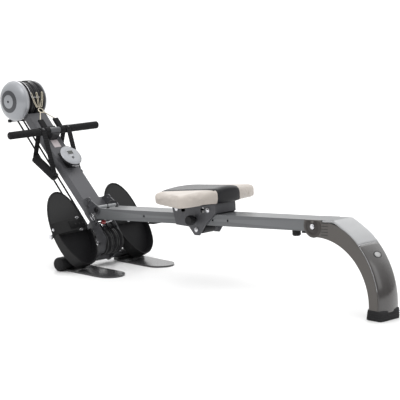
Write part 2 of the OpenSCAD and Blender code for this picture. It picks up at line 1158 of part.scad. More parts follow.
// A bored roller along Y, in rail coordinates
module roller(r, h, radius, half) {
    edge = 2;
    in_rail()
        translate([r, 0, h])
            rotate([90, 0, 0])
                rotate_extrude()
                    polygon([
                        [axle_r + run_fit, -half], [radius - edge, -half], [radius, edge - half],
                        [radius, half - edge], [radius - edge, half], [axle_r + run_fit, half]
                    ]);
}

module upper_roller_front() {
    color(black)
        roller(upper_axles[0], upper_axle_h, roller_r, 42);
}
module upper_roller_rear() {
    color(black)
        roller(upper_axles[1], upper_axle_h, roller_r, 42);
}
module lower_roller() {
    color(black)
        roller(lower_axle[0], lower_axle[1], lower_roller_r, 30);
}

// Half of the cushion's plan: front corner, tip and rear corner
function seat_plan(inset) = [
    [-25 + inset, 122 - inset], [60, 168 - inset], [140, seat_w / 2 - 8 - inset],
    [154, seat_w / 2 - inset], [170, seat_w / 2 - 8 - inset], [186 - inset, 150 - inset],
    [194 - inset, 118], [214 - inset, 60], [216 - inset, 0]
];
function mirrored(half) = concat(half, [for (i = [len(half) - 2 : -1 : 0]) [half[i][0], -half[i][1]]]);

module seat_board() {
    color("#6b5a42")
        in_rail()
            translate([0, 0, carriage_top])
                linear_extrude(board_t)
                    polygon(mirrored(seat_plan(22)));
}

module seat_pad() {
    color("#cfc5b6")
        in_rail()
            translate([0, 0, pad_low])
                linear_extrude(seat_t)
                    polygon(mirrored(seat_plan(0)));
}

// Sprung knob that locks the carriage to a hole in the rail's side
module seat_lock_knob() {
    color(black)
        in_rail()
            translate([lock_at[0], -rail_w / 2 - 0.4, lock_at[1]])
                rotate([90, 0, 0])
                    rotate_extrude()
                        polygon([
                            [0, 0], [4, 0], [4, 7], [9, 7], [9, 16], [15, 18], [17, 20],
                            [17, 38], [15, 41], [0, 41]
                        ]);
}

column_tube();
side_plate_near();
side_plate_far();
front_stabilizer();
stabilizer_caps();
floor_plate_near();
floor_plate_far();
pedal_axle();
cross_rods();
head_side_plates();
head_cover_near();
head_cover_far();
head_guard();
cord_near();
cord_mid();
cord_far();
snap_hooks();
hinge_bracket();
hinge_pin();
frame_fasteners();
handlebar_cradle();
monitor_bracket();
fold_lock_plate();
fold_lock_pin();
head_pulley_near();
head_pulley_mid();
head_pulley_far();
lower_pulley_near();
lower_pulley_mid();
lower_pulley_far();
handlebar_tube();
handlebar_grips();
handlebar_webbing();
yoke_wire();
stirrup_strap_left();
stirrup_grip_left();
stirrup_strap_right();
stirrup_grip_right();
monitor_case();
monitor_face();
monitor_button();
pedal_left();
pedal_right();
heel_cup_left();
heel_cup_right();
foot_strap_left();
foot_strap_right();
rail_tube();
rail_bumpers();
leg_shell();
leg_cover();
rear_foot();
carriage_frame();
roller_axles();
upper_roller_front();
upper_roller_rear();
lower_roller();
seat_board();
seat_pad();
seat_lock_knob();
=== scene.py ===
"""Looks of the rowing machine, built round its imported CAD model."""

import json
import math

import bmesh
import bpy
from mathutils import Matrix, Vector

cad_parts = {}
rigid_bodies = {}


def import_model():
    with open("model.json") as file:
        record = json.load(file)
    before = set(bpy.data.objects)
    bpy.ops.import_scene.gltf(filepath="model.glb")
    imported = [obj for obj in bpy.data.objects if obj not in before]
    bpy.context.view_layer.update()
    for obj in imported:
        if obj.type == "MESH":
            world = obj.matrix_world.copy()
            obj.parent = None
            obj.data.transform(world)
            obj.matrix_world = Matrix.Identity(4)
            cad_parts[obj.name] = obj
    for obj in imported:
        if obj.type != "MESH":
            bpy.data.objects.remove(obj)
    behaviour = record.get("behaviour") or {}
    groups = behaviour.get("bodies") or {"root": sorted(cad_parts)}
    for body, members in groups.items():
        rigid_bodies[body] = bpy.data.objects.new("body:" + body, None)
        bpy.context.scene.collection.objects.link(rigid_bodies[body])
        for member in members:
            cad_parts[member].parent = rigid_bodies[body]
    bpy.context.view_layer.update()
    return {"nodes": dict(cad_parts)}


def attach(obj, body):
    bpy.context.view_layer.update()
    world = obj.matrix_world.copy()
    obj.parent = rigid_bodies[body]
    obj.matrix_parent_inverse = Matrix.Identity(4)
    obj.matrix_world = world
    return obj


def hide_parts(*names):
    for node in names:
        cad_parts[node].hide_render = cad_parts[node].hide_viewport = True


# ---------------------------------------------------------------- camera
scene = bpy.context.scene
for old in list(bpy.data.objects):
    bpy.data.objects.remove(old, do_unlink=True)

cam_data = bpy.data.cameras.new("camera")
cam_data.lens = 173.77
cam_data.sensor_width = 36.0
cam_data.clip_end = 60.0
cam = bpy.data.objects.new("camera", cam_data)
cam.location = (4.7599, -4.9702, 1.4548)
cam.rotation_euler = (math.radians(80.428), 0.0, math.radians(43.3145))
scene.collection.objects.link(cam)
scene.camera = cam

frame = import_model()
NODES = frame["nodes"]

# ---------------------------------------------------------------- the CAD's own measures, in mm and radians
MM = 0.001
LEAN = math.radians(45.5)
RISE = math.radians(4.7)
PEDAL_PITCH = math.radians(61.2)
PEDAL_AXLE = (-462, 131)
PEDAL_Y = 147
SOLE_TOP = 12
SOLE_SHIFT = -11
COLUMN_X = -245
RAIL_Z = 254
HEAD_R = 76.5
DOME_HIGH = 31
FRAME_Y = 40.5
STABILIZER = (-447, 26)
MONITOR_S = 535
STIRRUP_Y = 64
STIRRUP_GRIP = ((-736, 380), (-623, 318))
LEG_PIVOT = (645, 284.6)
LEG_W = 52
SIDES = ((-1, "near"), (1, "far"))


def on_column(s, n):
    """[x, z] in mm from the distance s up the column's front face and n out of it."""
    return (COLUMN_X - s * math.sin(LEAN) + n * math.cos(LEAN), s * math.cos(LEAN) + n * math.sin(LEAN))


def column_pt(s, y, n):
    """A point s up the column and n out of its front face."""
    x, z = on_column(s, n)
    return Vector((x, y, z)) * MM


def rail_pt(r, y, h):
    """A point r along the rail and h above its top."""
    x = r * math.cos(RISE) - h * math.sin(RISE)
    z = RAIL_Z + r * math.sin(RISE) + h * math.cos(RISE)
    return Vector((x, y, z)) * MM


def pedal_pt(x, y, z):
    """Pedal frame: x to the heel, z to the foot."""
    wx = PEDAL_AXLE[0] + x * math.cos(PEDAL_PITCH) + z * math.sin(PEDAL_PITCH)
    wz = PEDAL_AXLE[1] - x * math.sin(PEDAL_PITCH) + z * math.cos(PEDAL_PITCH)
    return Vector((wx, y, wz)) * MM


BAR = on_column(663, 29.4)
HEAD = on_column(853, -12)


def head_pt(radius, angle, y):
    """A point round the head's axle."""
    return Vector((HEAD[0] + radius * math.cos(angle), y, HEAD[1] + radius * math.sin(angle))) * MM


# ---------------------------------------------------------------- materials
def material(name):
    """An empty node material with a Principled shader."""
    mat = bpy.data.materials.new(name)
    mat.use_nodes = True
    nt = mat.node_tree
    nt.nodes.clear()
    out = nt.nodes.new("ShaderNodeOutputMaterial")
    bsdf = nt.nodes.new("ShaderNodeBsdfPrincipled")
    nt.links.new(bsdf.outputs[0], out.inputs[0])
    return mat, nt, bsdf


def coords(nt, scale=(1, 1, 1)):
    """The object's own coordinates, stretched by scale."""
    tc = nt.nodes.new("ShaderNodeTexCoord")
    mp = nt.nodes.new("ShaderNodeMapping")
    mp.inputs["Scale"].default_value = scale
    nt.links.new(tc.outputs["Object"], mp.inputs[0])
    return mp.outputs[0]


def noise(nt, vec, scale, detail=3.0):
    """The factor of a noise texture."""
    nz = nt.nodes.new("ShaderNodeTexNoise")
    nz.inputs["Scale"].default_value = scale
    nz.inputs["Detail"].default_value = detail
    nz.inputs["Roughness"].default_value = 0.5
    nt.links.new(vec, nz.inputs["Vector"])
    return nz.outputs[0]


def remap(nt, fac, lo, hi, fmin=0.3, fmax=0.7):
    """Maps fmin..fmax of a factor onto lo..hi."""
    mr = nt.nodes.new("ShaderNodeMapRange")
    mr.inputs["From Min"].default_value = fmin
    mr.inputs["From Max"].default_value = fmax
    mr.inputs["To Min"].default_value = lo
    mr.inputs["To Max"].default_value = hi
    nt.links.new(fac, mr.inputs[0])
    return mr.outputs[0]


def ramp(nt, fac, stops):
    """A colour ramp with stops of (position, colour)."""
    cr = nt.nodes.new("ShaderNodeValToRGB")
    els = cr.color_ramp.elements
    while len(els) < len(stops):
        els.new(0.5)
    for el, (pos, col) in zip(els, stops):
        el.position = pos
        el.color = tuple(col) + (1.0,)
    nt.links.new(fac, cr.inputs[0])
    return cr.outputs[0]


def bump(nt, bsdf, height, strength=0.2, distance=0.0005, chain=None):
    """Feeds a height into the shader's normal, on top of an earlier bump if chain is given."""
    bp = nt.nodes.new("ShaderNodeBump")
    bp.inputs["Strength"].default_value = strength
    bp.inputs["Distance"].default_value = distance
    nt.links.new(height, bp.inputs["Height"])
    if chain is not None:
        nt.links.new(chain, bp.inputs["Normal"])
    nt.links.new(bp.outputs[0], bsdf.inputs["Normal"])
    return bp.outputs[0]


def shade(c, k):
    """A colour made k times as light."""
    return tuple(max(0.0, min(1.0, v * k)) for v in c)


def painted_edge_highlight(nt, color, light):
    """Blends a lighter colour onto sharp edges: a painted highlight."""
    geo = nt.nodes.new("ShaderNodeNewGeometry")
    fac = remap(nt, geo.outputs["Pointiness"], 0.0, 0.5, 0.52, 0.62)
    mix = nt.nodes.new("ShaderNodeMix")
    mix.data_type = "RGBA"
    nt.links.new(fac, mix.inputs["Factor"])
    nt.links.new(color, mix.inputs[6])
    mix.inputs[7].default_value = tuple(light) + (1.0,)
    return mix.outputs[2]


def speckled(name, color, rough=0.45, metal=0.0, grain=900.0, bump_k=0.08, spread=0.12, coat=0.0,
             edge_highlight_color=None, spec=0.5):
    """Paint or moulded plastic: fine grain in colour, roughness and height, and broad mottling."""
    mat, nt, b = material(name)
    vec = coords(nt)
    broad = noise(nt, vec, 9.0, 4.0)
    fine = noise(nt, vec, grain, 2.0)
    col = ramp(nt, broad, [(0.3, shade(color, 1 - spread)), (0.7, shade(color, 1 + spread))])
    # sharp edges lightened with the given colour: a painted highlight
    if edge_highlight_color is not None:
        col = painted_edge_highlight(nt, col, edge_highlight_color)
    nt.links.new(col, b.inputs["Base Color"])
    b.inputs["Metallic"].default_value = metal
    b.inputs["Specular IOR Level"].default_value = spec
    nt.links.new(remap(nt, fine, rough - 0.06, rough + 0.06), b.inputs["Roughness"])
    b.inputs["Coat Weight"].default_value = coat
    b.inputs["Coat Roughness"].default_value = 0.12
    bump(nt, b, fine, bump_k, 0.0002)
    return mat


def brushed(name, color, rough=0.3, along=(1, 60, 60), bump_k=0.05):
    """Bare or plated metal with fine streaks, and a painted highlight on its edges."""
    mat, nt, b = material(name)
    vec = coords(nt, along)
    streak = noise(nt, vec, 40.0, 3.0)
    col = ramp(nt, streak, [(0.3, shade(color, 0.9)), (0.7, shade(color, 1.08))])
    nt.links.new(painted_edge_highlight(nt, col, shade(color, 1.25)), b.inputs["Base Color"])
    b.inputs["Metallic"].default_value = 1.0
    nt.links.new(remap(nt, streak, rough - 0.07, rough + 0.08), b.inputs["Roughness"])
    bump(nt, b, streak, bump_k, 0.0001)
    return mat


def woven(name, color, pitch=0.0012, rough=0.85, sheen=0.3):
    """Woven webbing or braid: crossed threads in colour and height."""
    mat, nt, b = material(name)
    vec = coords(nt)
    waves = []
    for axis in ("X", "Y", "Z"):
        w = nt.nodes.new("ShaderNodeTexWave")
        w.wave_type = "BANDS"
        w.bands_direction = axis
        w.inputs["Scale"].default_value = 0.5 / pitch / math.pi
        w.inputs["Distortion"].default_value = 0.4
        nt.links.new(vec, w.inputs["Vector"])
        waves.append(w.outputs["Fac"])
    total = waves[0]
    for w in waves[1:]:
        m = nt.nodes.new("ShaderNodeMath")
        m.operation = "MULTIPLY_ADD"
        m.inputs[1].default_value = 0.5
        nt.links.new(w, m.inputs[0])
        nt.links.new(total, m.inputs[2])
        total = m.outputs[0]
    col = ramp(nt, remap(nt, total, 0, 1, 0.2, 1.6), [(0.0, shade(color, 0.5)), (1.0, shade(color, 1.5))])
    nt.links.new(col, b.inputs["Base Color"])
    b.inputs["Roughness"].default_value = rough
    b.inputs["Specular IOR Level"].default_value = 0.15
    b.inputs["Sheen Weight"].default_value = sheen
    bump(nt, b, total, 0.5, 0.0004)
    return mat


def foam(name, color):
    """Closed-cell foam: small pores."""
    mat, nt, b = material(name)
    vec = coords(nt)
    v = nt.nodes.new("ShaderNodeTexVoronoi")
    v.inputs["Scale"].default_value = 420.0
    nt.links.new(vec, v.inputs["Vector"])
    col = ramp(nt, v.outputs["Distance"], [(0.05, shade(color, 0.5)), (0.6, shade(color, 1.25))])
    nt.links.new(col, b.inputs["Base Color"])
    nt.links.new(remap(nt, v.outputs["Distance"], 0.95, 0.75, 0.0, 0.6), b.inputs["Roughness"])
    b.inputs["Specular IOR Level"].default_value = 0.15
    bump(nt, b, v.outputs["Distance"], 0.35, 0.0005)
    return mat


def vinyl(name, color, rough=0.5, spread=0.08, spec=0.5):
    """Leather-look vinyl: small pebbled grain with fine creases."""
    mat, nt, b = material(name)
    vec = coords(nt)
    v = nt.nodes.new("ShaderNodeTexVoronoi")
    v.feature = "DISTANCE_TO_EDGE"
    v.inputs["Scale"].default_value = 330.0
    nt.links.new(vec, v.inputs["Vector"])
    broad = noise(nt, vec, 14.0, 4.0)
    fine = noise(nt, vec, 600.0, 2.0)
    col = ramp(nt, broad, [(0.3, shade(color, 1 - spread)), (0.7, shade(color, 1 + spread))])
    nt.links.new(col, b.inputs["Base Color"])
    nt.links.new(remap(nt, fine, rough - 0.05, rough + 0.07), b.inputs["Roughness"])
    b.inputs["Specular IOR Level"].default_value = spec
    b.inputs["Sheen Weight"].default_value = 0.05
    n1 = bump(nt, b, v.outputs["Distance"], 0.35, 0.0004)
    bump(nt, b, broad, 0.12, 0.004, n1)
    return mat


def wood(name):
    """Dark stained board: stretched grain."""
    mat, nt, b = material(name)
    vec = coords(nt, (4, 40, 200))
    grain = noise(nt, vec, 3.0, 5.0)
    col = ramp(nt, grain, [(0.3, (0.011, 0.010, 0.010)), (0.7, (0.024, 0.022, 0.021))])
    nt.links.new(col, b.inputs["Base Color"])
    b.inputs["Roughness"].default_value = 0.55
    bump(nt, b, grain, 0.2, 0.0003)
    return mat


# the edge colours given to many looks paint highlights onto their sharp edges
M = {
    "frame": speckled("frame_paint", (0.031, 0.032, 0.037), rough=0.4, metal=0.12, grain=1400,
                      bump_k=0.06, spread=0.10, coat=0.05, edge_highlight_color=(0.16, 0.16, 0.17), spec=0.25),
    "plates": speckled("plate_paint", (0.026, 0.027, 0.031), rough=0.42, metal=0.15, grain=1400,
                       bump_k=0.06, spread=0.10, coat=0.15, edge_highlight_color=(0.14, 0.14, 0.15), spec=0.4),
    "floor_plate": speckled("floor_plate_paint", (0.010, 0.011, 0.013), rough=0.24, metal=0.0, grain=1200,
                            bump_k=0.03, spread=0.12, coat=0.2, edge_highlight_color=(0.1, 0.1, 0.1), spec=0.4),
    "rail": speckled("rail_paint", (0.034, 0.035, 0.038), rough=0.34, metal=0.1, grain=1200, bump_k=0.03,
                     spread=0.07, coat=0.1, edge_highlight_color=(0.3, 0.31, 0.32), spec=0.25),
    "bright": brushed("bright_plating", (0.66, 0.66, 0.68), rough=0.2, along=(30, 30, 30), bump_k=0.02),
    "dark_metal": brushed("dark_plating", (0.12, 0.12, 0.125), rough=0.34, along=(30, 30, 30),
                          bump_k=0.02),
    "hook": speckled("hook_plating", (0.58, 0.53, 0.42), rough=0.3, metal=0.35, grain=900, bump_k=0.03,
                     spread=0.12, coat=0.3),
    "silver": speckled("silver_plastic", (0.33, 0.34, 0.36), rough=0.36, metal=0.35, grain=1100,
                       bump_k=0.05, spread=0.06, coat=0.15, edge_highlight_color=(0.6, 0.6, 0.62)),
    "silver_dark": speckled("silver_ring", (0.075, 0.077, 0.084), rough=0.4, metal=0.3, grain=1100,
                            bump_k=0.05, spread=0.06),
    "black": speckled("black_plastic", (0.010, 0.010, 0.0115), rough=0.45, metal=0.0, grain=700,
                      bump_k=0.2, spread=0.25, coat=0.0, edge_highlight_color=(0.05, 0.05, 0.052), spec=0.2),
    "pulley": speckled("pulley_plastic", (0.011, 0.011, 0.013), rough=0.38, metal=0.0, grain=900,
                       bump_k=0.1, spread=0.2, coat=0.05, edge_highlight_color=(0.06, 0.06, 0.06), spec=0.25),
    "guard": speckled("guard_plastic", (0.035, 0.036, 0.04), rough=0.4, metal=0.1, grain=900, bump_k=0.15,
                      spread=0.15, coat=0.1, edge_highlight_color=(0.14, 0.14, 0.14)),
    "pale": speckled("pale_plastic", (0.4, 0.4, 0.4), rough=0.4, metal=0.1, grain=900, bump_k=0.1,
                     spread=0.06),
    "label": speckled("label_enamel", (0.46, 0.41, 0.42), rough=0.35, metal=0.1, grain=500, bump_k=0.05,
                      spread=0.12),
    "red": speckled("red_knob", (0.24, 0.008, 0.012), rough=0.22, metal=0.0, grain=600, bump_k=0.05,
                    spread=0.15, coat=0.7, edge_highlight_color=(0.6, 0.1, 0.1)),
    "rubber": speckled("black_rubber", (0.012, 0.012, 0.013), rough=0.62, metal=0.0, grain=500,
                       bump_k=0.3, spread=0.25, coat=0.0, edge_highlight_color=(0.05, 0.05, 0.05), spec=0.2),
    "pedal": speckled("pedal_plastic", (0.011, 0.011, 0.012), rough=0.48, metal=0.0, grain=420,
                      bump_k=0.25, spread=0.15, coat=0.0, edge_highlight_color=(0.05, 0.05, 0.05), spec=0.12),
    "cup": speckled("heel_cup_plastic", (0.008, 0.008, 0.009), rough=0.5, metal=0.0, grain=420,
                    bump_k=0.25, spread=0.2, coat=0.0, edge_highlight_color=(0.03, 0.03, 0.03), spec=0.18),
    "strap": speckled("strap_rubber", (0.0035, 0.0035, 0.004), rough=0.42, metal=0.0, grain=300,
                      bump_k=0.2, spread=0.3, coat=0.0, edge_highlight_color=(0.03, 0.03, 0.03), spec=0.12),
    "leg": speckled("leg_paint", (0.038, 0.033, 0.031), rough=0.4, metal=0.12, grain=1300, bump_k=0.06,
                    spread=0.08, coat=0.1, edge_highlight_color=(0.16, 0.15, 0.14), spec=0.3),
    "cover_light": speckled("leg_top_plastic", (0.34, 0.345, 0.352), rough=0.36, metal=0.1, grain=900,
                            bump_k=0.08, spread=0.05, coat=0.2, edge_highlight_color=(0.4, 0.4, 0.41)),
    "cover_dark": speckled("leg_rear_plastic", (0.040, 0.037, 0.036), rough=0.2, metal=0.0, grain=900,
                           bump_k=0.02, spread=0.1, coat=0.8),
    "lcd": speckled("display", (0.022, 0.025, 0.022), rough=0.2, metal=0.0, grain=200, bump_k=0.02,
                    spread=0.1, coat=0.3),
    "foam": foam("black_foam", (0.012, 0.012, 0.013)),
    "webbing": woven("black_webbing", (0.012, 0.012, 0.013), pitch=0.0016, rough=0.85, sheen=0.03),
    "cord": woven("cord_braid", (0.014, 0.014, 0.016), pitch=0.0011, rough=0.8, sheen=0.05),
    "wood": wood("seat_board_wood"),
    "beige": vinyl("seat_vinyl_beige", (0.47, 0.425, 0.385), rough=0.5),
    "dark_vinyl": vinyl("seat_vinyl_black", (0.009, 0.009, 0.011), rough=0.4, spread=0.2, spec=0.28),
}

NODE_LOOK = {
    "column_tube": "frame", "side_plate_near": "plates", "side_plate_far": "plates",
    "front_stabilizer": "plates", "stabilizer_caps": "rubber", "floor_plate_near": "floor_plate",
    "floor_plate_far": "floor_plate", "pedal_axle": "bright", "cross_rods": "bright",
    "head_side_plates": "plates", "head_cover_near": "silver", "head_cover_far": "silver",
    "head_guard": "guard", "cord_near": "cord", "cord_mid": "cord", "cord_far": "cord",
    "snap_hooks": "hook", "hinge_bracket": "plates", "hinge_pin": "dark_metal", "frame_fasteners": "bright",
    "handlebar_cradle": "black", "monitor_bracket": "black", "fold_lock_plate": "plates",
    "fold_lock_pin": "red", "head_pulley_near": "pulley", "head_pulley_mid": "pulley",
    "head_pulley_far": "pulley", "lower_pulley_near": "pulley", "lower_pulley_mid": "pulley",
    "lower_pulley_far": "pulley", "handlebar_tube": "frame", "handlebar_grips": "foam",
    "handlebar_webbing": "webbing", "yoke_wire": "hook", "stirrup_strap_left": "webbing",
    "stirrup_grip_left": "foam", "stirrup_strap_right": "webbing", "stirrup_grip_right": "foam",
    "monitor_case": "black", "monitor_face": "silver", "monitor_button": "silver_dark",
    "pedal_left": "pedal", "pedal_right": "pedal", "heel_cup_left": "cup", "heel_cup_right": "cup",
    "foot_strap_left": "strap", "foot_strap_right": "strap", "rail_tube": "rail", "rail_bumpers": "rubber",
    "leg_shell": "leg", "leg_cover": "cover_light", "rear_foot": "rubber", "carriage_frame": "frame",
    "roller_axles": "bright", "upper_roller_front": "black", "upper_roller_rear": "black",
    "lower_roller": "black", "seat_board": "wood", "seat_pad": "beige", "seat_lock_knob": "black",
}
for node, look in NODE_LOOK.items():
    ob = NODES[node]
    ob.data.materials.clear()
    ob.data.materials.append(M[look])

# soft edges catch the light on the CAD's sheet metal and castings
EDGE_ROUND = {
    "column_tube": 3.0, "rail_tube": 2.2, "side_plate_near": 1.2, "side_plate_far": 1.2,
    "carriage_frame": 1.2, "hinge_bracket": 1.2, "leg_shell": 1.5, "pedal_left": 2.0, "pedal_right": 2.0,
    "heel_cup_left": 1.4, "heel_cup_right": 1.4, "floor_plate_near": 2.0, "floor_plate_far": 2.0,
    "head_guard": 0.7, "head_cover_far": 1.0, "monitor_bracket": 1.2, "handlebar_cradle": 2.0,
    "foot_strap_left": 1.0, "foot_strap_right": 1.0, "fold_lock_plate": 0.7,
    "handlebar_webbing": 0.8, "stirrup_strap_left": 0.8, "stirrup_strap_right": 0.8,
}


def bevel(ob, width, segments, angle):
    """Rounds by width in mm the edges that are sharper than angle in degrees."""
    mod = ob.modifiers.new("edge", "BEVEL")
    mod.width = width * MM
    mod.segments = segments
    mod.limit_method = "ANGLE"
    mod.angle_limit = math.radians(angle)


for node, width in EDGE_ROUND.items():
    bevel(NODES[node], width, 2, 40)


# ---------------------------------------------------------------- mesh helpers
def finished(bm, name):
    """Turns a bmesh into a mesh whose normals face outwards."""
    bmesh.ops.recalc_face_normals(bm, faces=bm.faces)
    me = bpy.data.meshes.new(name)
    bm.to_mesh(me)
    bm.free()
    return me


def skin(bm, rows, closed=True):
    """Lays faces between neighbouring rows of vertices, and over the ends of a closed form."""
    for a, b in zip(rows, rows[1:]):
        for j in range(len(a) if closed else len(a) - 1):
            k = (j + 1) % len(a)
            bm.faces.new((a[j], a[k], b[k], b[j]))
    if closed:
        bm.faces.new(rows[0])
        bm.faces.new(rows[-1])


def new_object(name, mesh, look, body, smooth=True):
    """A visible piece that rides on a body, with its look in a material slot of its own mesh."""
    ob = bpy.data.objects.new(name, mesh)
    scene.collection.objects.link(ob)
    mesh.materials.append(M[look])
    if smooth:
        for p in mesh.polygons:
            p.use_smooth = True
    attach(ob, body)
    return ob


def tube(name, points, radius, look, body, cyclic=False, resolution=6, smooth=True):
    """A round wire, cord or tube along points in metres."""
    cu = bpy.data.curves.new(name, "CURVE")
    cu.dimensions = "3D"
    cu.bevel_depth = radius * MM
    cu.bevel_resolution = 4
    cu.resolution_u = resolution
    cu.use_fill_caps = True
    sp = cu.splines.new("BEZIER" if smooth else "POLY")
    if smooth:
        sp.bezier_points.add(len(points) - 1)
        for bp, p in zip(sp.bezier_points, points):
            bp.co = p
            bp.handle_left_type = bp.handle_right_type = "AUTO"
    else:
        sp.points.add(len(points) - 1)
        for pt, p in zip(sp.points, points):
            pt.co = (*p, 1.0)
    sp.use_cyclic_u = cyclic
    ob = bpy.data.objects.new(name, cu)
    scene.collection.objects.link(ob)
    cu.materials.append(M[look])
    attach(ob, body)
    return ob


def frame_at(origin, x_dir, z_dir):
    """A matrix with its x and z along two directions, at origin."""
    z = Vector(z_dir).normalized()
    x = Vector(x_dir)
    x = (x - x.dot(z) * z).normalized()
    y = z.cross(x)
    return Matrix(((x.x, y.x, z.x, origin[0]), (x.y, y.y, z.y, origin[1]),
                   (x.z, y.z, z.z, origin[2]), (0, 0, 0, 1)))


def outward(x, y, z, side):
    """A placing at a point in mm, with local z straight out of one side of the machine."""
    return frame_at(Vector((x, y, z)) * MM, (1, 0, 0), (0, side, 0))


def turned_mesh(name, parts):
    """Turns each profile of (radius, height) in mm about local z, in its own number of steps."""
    bm = bmesh.new()
    for profile, steps in parts:
        rings = []
        for i in range(steps):
            a = 2 * math.pi * i / steps
            rings.append([bm.verts.new((r * math.cos(a) * MM, r * math.sin(a) * MM, h * MM))
                          for r, h in profile])
        for i in range(steps):
            p, q = rings[i], rings[(i + 1) % steps]
            for j in range(len(profile) - 1):
                bm.faces.new((p[j], q[j], q[j + 1], p[j + 1]))
    bmesh.ops.remove_doubles(bm, verts=bm.verts, dist=1e-6)
    bmesh.ops.dissolve_degenerate(bm, dist=1e-7, edges=bm.edges)
    return finished(bm, name)


def lathe(name, profile, place, look, body, steps=64):
    """A turned piece, its profile as (radius, height) in mm about local z of place."""
    me = turned_mesh(name, [(profile, steps)])
    me.transform(place)
    return new_object(name, me, look, body)


def wire_ring(name, centre, x_dir, normal, rx, ry, wire, look, body, steps):
    """An oval ring of wire, with its radii and the wire's radius in mm."""
    place = frame_at(centre, x_dir, normal)
    pts = [place @ Vector((rx * math.cos(2 * math.pi * i / steps) * MM,
                           ry * math.sin(2 * math.pi * i / steps) * MM, 0)) for i in range(steps)]
    return tube(name, pts, wire, look, body, cyclic=True, resolution=3)


def bolt(name, place, radius, height, look, body, hex_head=True):
    """A bolt head with a chamfered top, on a washer, along local z of place."""
    washer = [(radius * 1.45, 0), (radius * 1.45, height * 0.25), (radius, height * 0.25)]
    head = [(radius, height * 0.25), (radius, height * 0.85), (radius * 0.82, height), (0, height)]
    me = turned_mesh(name, [(washer, 32), (head, 6 if hex_head else 24)])
    me.transform(place)
    return new_object(name, me, look, body, smooth=False)


def ribbon(name, points, across, width, thick, look, body):
    """A flat strap of a given width along points; across is its width direction."""
    w = Vector(across).normalized() * width / 2 * MM
    bm = bmesh.new()
    rows = []
    for i, p in enumerate(points):
        t = (points[min(i + 1, len(points) - 1)] - points[max(i - 1, 0)]).normalized()
        up = t.cross(Vector(across).normalized()).normalized() * thick / 2 * MM
        rows.append([bm.verts.new(p + sx * w + su * up) for sx, su in ((-1, -1), (1, -1), (1, 1), (-1, 1))])
    skin(bm, rows)
    ob = new_object(name, finished(bm, name), look, body)
    bevel(ob, min(0.9, thick * 0.35), 2, 50)
    return ob


def panel(name, corners, out, thick, look, body, round_mm=1.0):
    """A thin flat panel: corners in order round it, thickened towards the direction out."""
    bm = bmesh.new()
    low = [bm.verts.new(c) for c in corners]
    face = bm.faces.new(low)
    ext = bmesh.ops.extrude_face_region(bm, geom=[face])
    moved = [g for g in ext["geom"] if isinstance(g, bmesh.types.BMVert)]
    bmesh.ops.translate(bm, verts=moved, vec=out.normalized() * thick * MM)
    ob = new_object(name, finished(bm, name), look, body, smooth=False)
    bevel(ob, round_mm, 3, 40)
    return ob


# ---------------------------------------------------------------- head covers' rings
def dome(r):
    """The near cover's height at the radius r, measured from its middle."""
    share = r / HEAD_R
    return DOME_HIGH * ((1 - share ** 2.4) ** 0.62) - DOME_HIGH


place = outward(HEAD[0], -FRAME_Y - 16 - DOME_HIGH, HEAD[1], -1)
ring = [(r, dome(r) + 0.7) for r in range(27, 45, 2)]
profile = [(26, dome(26) - 0.4)] + ring + [(44, dome(44) - 0.4)]
lathe("head_ring", profile, place, "silver_dark", "frame")
boss = [(0, 1.6), (3, 1.4), (4.4, 0.6), (4.6, -0.6)]
lathe("head_boss", boss, place, "black", "frame", 32)
rim = [(HEAD_R - 0.8, -31.2), (HEAD_R + 0.7, -30.6), (HEAD_R + 0.9, -33), (HEAD_R + 0.9, -42),
       (HEAD_R - 0.8, -42)]
lathe("head_rim", rim, place, "silver", "frame")
place = outward(HEAD[0], FRAME_Y + 9.5, HEAD[1], 1)
ring = [(52, 0.4), (54, 1.2), (62, 1.2), (64, 0.4)]
lathe("lid_ring", ring, place, "silver_dark", "frame")
boss = [(0, 3.0), (6, 2.8), (8.5, 1.6), (9, 0.2)]
lathe("lid_boss", boss, place, "black", "frame", 32)

# ---------------------------------------------------------------- monitor display, label plate
column_out = Vector((math.cos(LEAN), 0, math.sin(LEAN)))
column_up = Vector((-math.sin(LEAN), 0, math.cos(LEAN)))
monitor_at = column_pt(MONITOR_S, 0, 30)


def on_monitor(half_w, half_h, out):
    """Corners of a rectangle on the monitor's face, out in mm above the monitor's middle."""
    return [monitor_at + column_up * MM * (10 + dz) + Vector((0, dy * MM, 0)) + column_out * out * MM
            for dy, dz in ((-half_w, -half_h), (half_w, -half_h), (half_w, half_h), (-half_w, half_h))]


panel("monitor_display", on_monitor(13, 8, 6.8), column_out, 1.4, "lcd", "monitor", 0.5)
panel("monitor_bezel", on_monitor(16, 11, 6.1), column_out, 1.5, "silver", "monitor", 0.6)

label = [column_pt(s, y, 0.1) for s, y in ((602, -17), (602, 17), (638, 17), (638, -17))]
panel("label_plate", label, column_out, 0.8, "label", "frame", 0.6)

# ---------------------------------------------------------------- rear leg's cover
# arcs as (centre, radius): the leg's outline, and the bend from the rail's top down into it
LEG_ARC = ((648, 40), 286)
BEND_ARC = ((696.4, 110.5), 200)
# the angle on the leg's arc, in degrees, where the light top cover meets the dark rear one
LEG_SPLIT = 46.3


def leg_station(arc, a_deg):
    """A point of an arc, and the direction out of it."""
    (x, z), radius = arc
    a = math.radians(a_deg)
    out = Vector((math.cos(a), math.sin(a)))
    return Vector((x, z)) + radius * out, out


def leg_pt(station, y, depth):
    """A point sunk by depth in mm below a station."""
    p, out = station
    return Vector((p.x - out.x * depth, y, p.y - out.y * depth)) * MM


